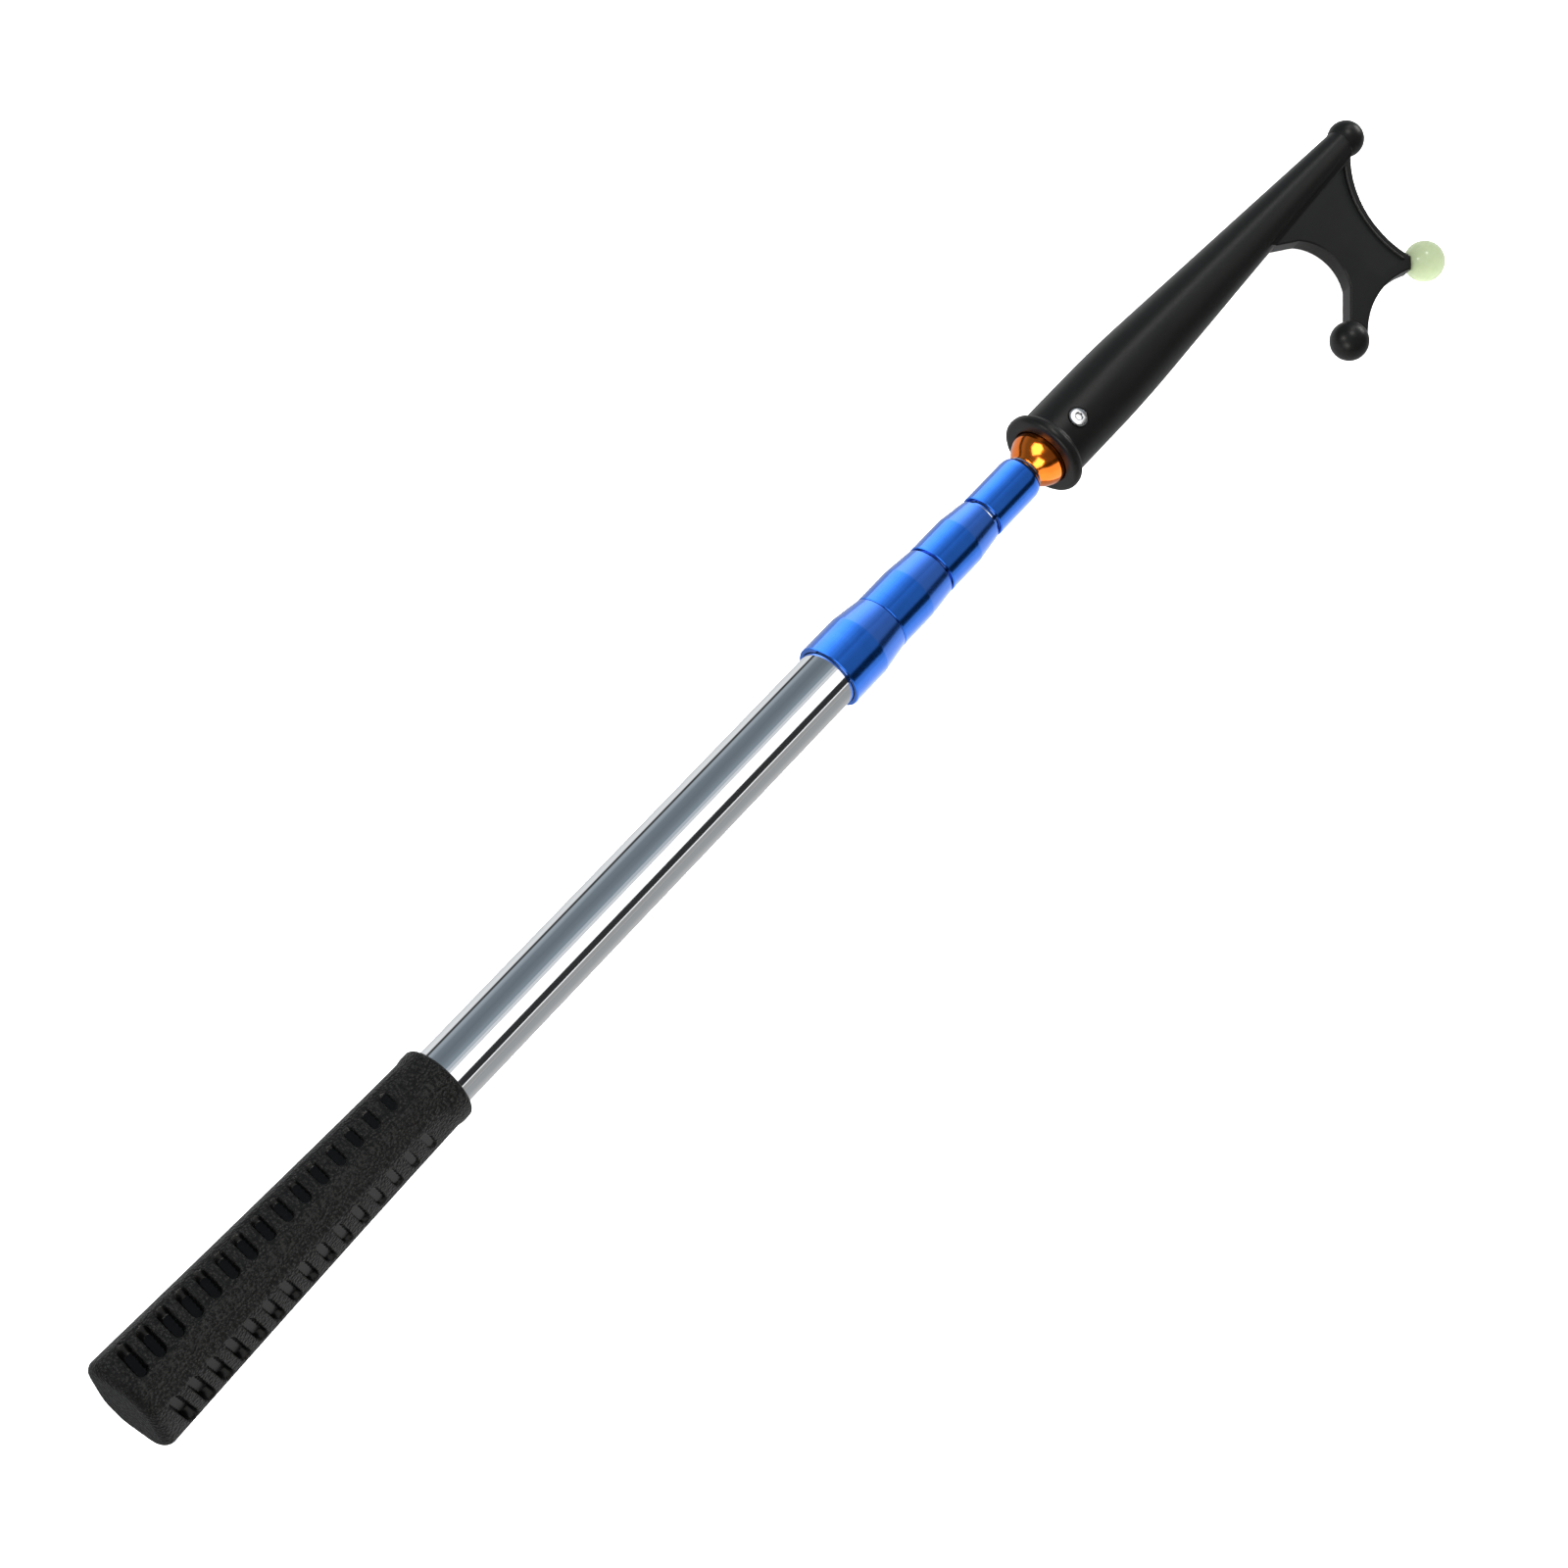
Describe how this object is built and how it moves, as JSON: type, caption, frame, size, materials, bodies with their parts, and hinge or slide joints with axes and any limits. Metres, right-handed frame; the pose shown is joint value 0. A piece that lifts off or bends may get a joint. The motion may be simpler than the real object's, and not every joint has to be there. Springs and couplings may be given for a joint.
{
  "type": "boat hook",
  "caption": "Telescoping boat hook: nested aluminium tubes with twist locks, a rubber grip, and a screw-on nylon hook head with ball tips, one of them luminous.",
  "frame": {"origin": "centre of the butt face, on the pole's axis", "axes": "+X along the pole towards the hook's tip; -Y towards the hook's point; +Z square to the plane of the hook"},
  "size_m": [0.7548, 0.0892, 0.0396],
  "materials": {
    "grip_rubber": "black moulded rubber with a pebbled grain",
    "bright_tube": "bright drawn aluminium, lightly brushed along its length",
    "blue_anodised": "satin blue anodised",
    "orange_anodised": "polished orange anodised",
    "black_nylon": "moulded black nylon, semi-gloss",
    "luminous_plastic": "pale green luminous plastic",
    "steel": "turned stainless steel",
    "grey_acetal": "grey acetal"
  },
  "bodies": {
    "handle": {"rubber_grip": "grip_rubber", "outer_tube": "bright_tube", "butt_plug": "grey_acetal", "collar_1": "blue_anodised"},
    "bush_2": {"guide_bush_2": "grey_acetal"},
    "stage_2": {"tube_2": "bright_tube", "collar_2": "blue_anodised", "end_plug_2": "grey_acetal", "lock_washer_2": "steel", "lock_screw_2": "steel"},
    "ring_2": {"lock_ring_2": "grey_acetal"},
    "bush_3": {"guide_bush_3": "grey_acetal"},
    "stage_3": {"tube_3": "bright_tube", "collar_3": "blue_anodised", "end_plug_3": "grey_acetal", "lock_washer_3": "steel", "lock_screw_3": "steel"},
    "ring_3": {"lock_ring_3": "grey_acetal"},
    "bush_4": {"guide_bush_4": "grey_acetal"},
    "stage_4": {"tube_4": "bright_tube", "tip_ferrule": "blue_anodised", "thread_insert": "steel", "end_plug_4": "grey_acetal", "lock_washer_4": "steel", "lock_screw_4": "steel"},
    "ring_4": {"lock_ring_4": "grey_acetal"},
    "seal": {"seal_washer": "steel"},
    "head": {"thread_adapter": "orange_anodised", "hook_head": "black_nylon", "luminous_ball": "luminous_plastic", "cross_screw": "steel"}
  },
  "joints": [
    {"name": "twist_2", "type": "hinge", "parent": "handle", "child": "bush_2", "pos_m": [0.4074, 0, 0], "axis": [1, 0, 0], "range_deg": [0, 45]},
    {"name": "extend_2", "type": "slide", "parent": "bush_2", "child": "stage_2", "axis": [1, 0, 0], "range_m": [0, 0.32]},
    {"name": "lock_2", "type": "hinge", "parent": "stage_2", "child": "ring_2", "pos_m": [0.032, 0, 0.0005], "axis": [1, 0, 0], "range_deg": [-45, 0]},
    {"name": "twist_3", "type": "hinge", "parent": "stage_2", "child": "bush_3", "pos_m": [0.43925, 0, 0], "axis": [1, 0, 0], "range_deg": [0, 45]},
    {"name": "extend_3", "type": "slide", "parent": "bush_3", "child": "stage_3", "axis": [1, 0, 0], "range_m": [-0.0011, 0.32]},
    {"name": "lock_3", "type": "hinge", "parent": "stage_3", "child": "ring_3", "pos_m": [0.0653, 0, 0.0005], "axis": [1, 0, 0], "range_deg": [-45, 0]},
    {"name": "twist_4", "type": "hinge", "parent": "stage_3", "child": "bush_4", "pos_m": [0.4723, 0, 0], "axis": [1, 0, 0], "range_deg": [0, 45]},
    {"name": "extend_4", "type": "slide", "parent": "bush_4", "child": "stage_4", "axis": [1, 0, 0], "range_m": [-0.0021, 0.32]},
    {"name": "lock_4", "type": "hinge", "parent": "stage_4", "child": "ring_4", "pos_m": [0.0986, 0, 0.0005], "axis": [1, 0, 0], "range_deg": [-45, 0]},
    {"name": "unscrew_head", "type": "hinge", "parent": "stage_4", "child": "seal", "pos_m": [0.5155, 0, 0], "axis": [1, 0, 0], "range_deg": [0, 1440]},
    {"name": "head_travel", "type": "slide", "parent": "seal", "child": "head", "axis": [1, 0, 0], "range_m": [0, 0.0121]}
  ],
  "couplings": [
    {"joint": "lock_2", "follows": "twist_2", "ratio": -1},
    {"joint": "lock_3", "follows": "twist_3", "ratio": -1},
    {"joint": "lock_4", "follows": "twist_4", "ratio": -1},
    {"joint": "head_travel", "follows": "unscrew_head", "m_per_rad": 0.00047746}
  ]
}
